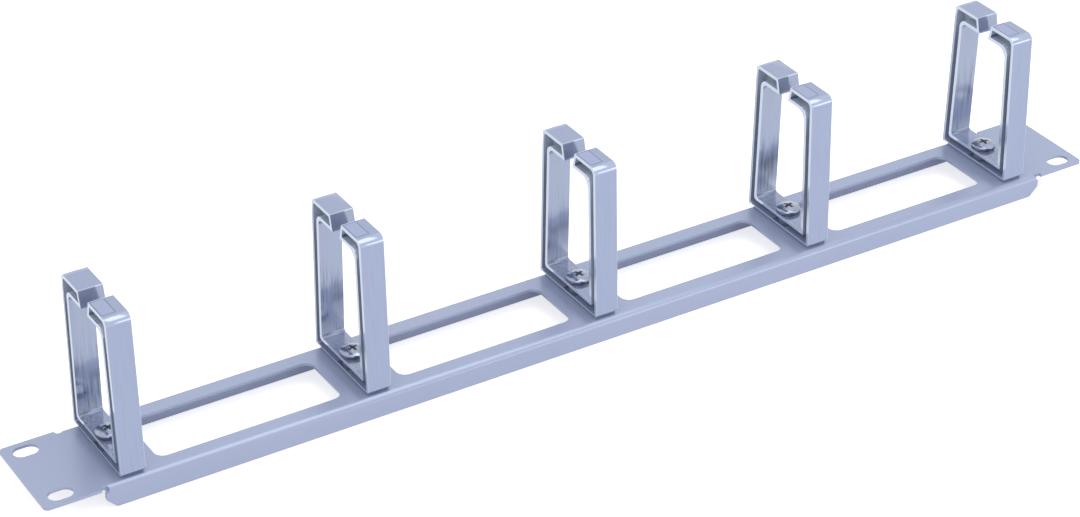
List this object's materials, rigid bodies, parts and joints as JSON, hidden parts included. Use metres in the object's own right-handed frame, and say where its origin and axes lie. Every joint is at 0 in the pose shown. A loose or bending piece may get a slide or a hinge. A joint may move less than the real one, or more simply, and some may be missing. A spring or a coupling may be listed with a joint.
{
  "type": "rack cable management panel",
  "caption": "Folded 19-inch rack panel with windows and tall open-top moulded rings that guide cables along its face.",
  "frame": {"origin": "centre of the panel, in the plane of the flange edges that it lies on", "axes": "+X along the panel to the right ear, +Y across it to the back flange, +Z out of its face, the way the rings stand"},
  "size_m": [0.4826, 0.0445, 0.0771],
  "materials": {
    "panel_coat": "satin powder coat",
    "ring_plastic": "gloss moulded plastic",
    "screw_steel": "plated steel",
    "washer_steel": "plated steel",
    "nut_steel": "plated steel"
  },
  "bodies": {
    "root": {"panel": "panel_coat", "ring_1": "ring_plastic", "ring_2": "ring_plastic", "ring_3": "ring_plastic", "ring_4": "ring_plastic", "ring_5": "ring_plastic", "screw_1": "screw_steel", "screw_2": "screw_steel", "screw_3": "screw_steel", "screw_4": "screw_steel", "screw_5": "screw_steel", "washer_1": "washer_steel", "washer_2": "washer_steel", "washer_3": "washer_steel", "washer_4": "washer_steel", "washer_5": "washer_steel", "nut_1": "nut_steel", "nut_2": "nut_steel", "nut_3": "nut_steel", "nut_4": "nut_steel", "nut_5": "nut_steel"}
  },
  "joints": []
}
